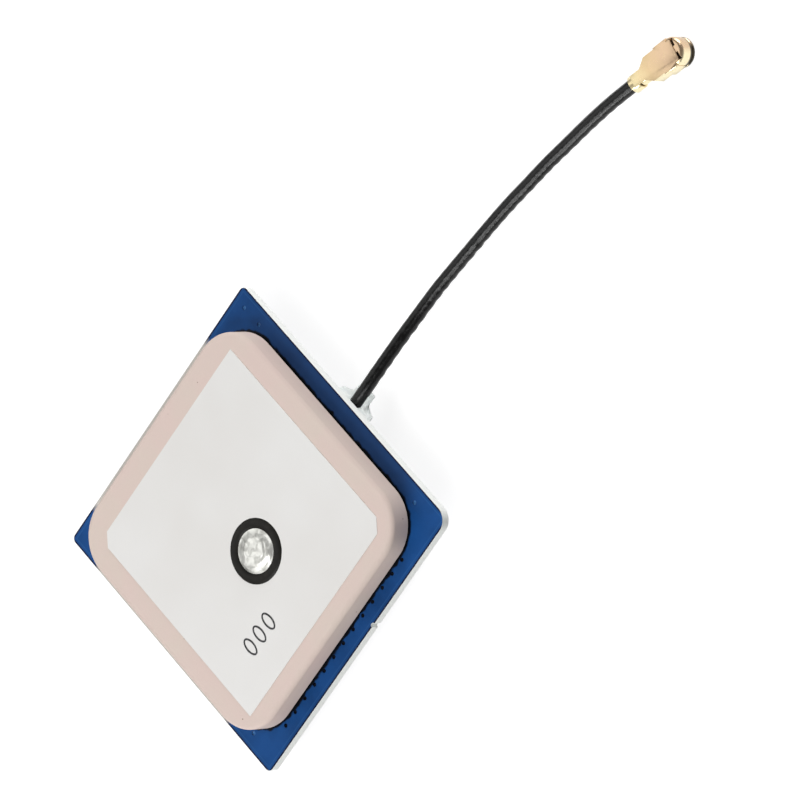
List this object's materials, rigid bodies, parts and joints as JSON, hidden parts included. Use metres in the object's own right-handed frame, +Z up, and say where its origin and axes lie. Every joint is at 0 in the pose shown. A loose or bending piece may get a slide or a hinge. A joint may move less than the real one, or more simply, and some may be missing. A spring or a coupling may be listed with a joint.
{
  "type": "gps patch antenna",
  "caption": "Active ceramic patch antenna on a small circuit board, with a screened amplifier below it and a thin coaxial lead that ends in a push-on plug.",
  "frame": {"origin": "the middle of the screening can's flat underside, which is also the middle of the board in plan", "axes": "+Z up through the board and the ceramic block, +Y the way the coaxial lead leaves, +X the side of the patch with the feed pin"},
  "size_m": [0.028, 0.0706, 0.0059],
  "materials": {
    "fired_ceramic": "fine matte, pinkish beige",
    "fired_silver": "matte fired silver",
    "black_varnish": "glossy black varnish",
    "tinned_brass": "bright tinned",
    "solder": "bright solder",
    "adhesive": "matte",
    "blue_board": "blue solder mask over glass laminate",
    "tinplate": "drawn tinplate",
    "filter_package": "ceramic base with a gilt lid",
    "black_package": "matte moulding compound with tinned leads",
    "capacitor_body": "matte with tinned ends",
    "inductor_body": "matte with tinned ends",
    "resistor_body": "matte with tinned ends",
    "black_jacket": "satin extruded fluoropolymer",
    "braid_wire": "silver-plated copper wire",
    "white_dielectric": "satin",
    "clear_glue": "milky, half clear",
    "gold_plate": "gold-plated phosphor bronze",
    "black_resin": "matte moulded"
  },
  "bodies": {
    "root": {"ceramic_block": "fired_ceramic", "patch_electrode": "fired_silver", "ground_electrode": "fired_silver", "solder_stop_ring": "black_varnish", "feed_pin": "tinned_brass", "pin_solder_top": "solder", "pin_solder_tail": "solder", "adhesive_pad": "adhesive", "circuit_board": "blue_board", "shield_can": "tinplate", "can_solder": "solder", "band_filter": "filter_package", "first_amplifier": "black_package", "second_amplifier": "black_package", "chip_capacitors": "capacitor_body", "chip_inductors": "inductor_body", "chip_resistors": "resistor_body", "cable_jacket": "black_jacket", "cable_braid": "braid_wire", "cable_dielectric": "white_dielectric", "cable_core": "braid_wire", "braid_solder": "solder", "core_solder": "solder", "glue_bead": "clear_glue", "plug_shell": "gold_plate", "plug_insulator": "black_resin", "plug_contact": "gold_plate"}
  },
  "joints": []
}
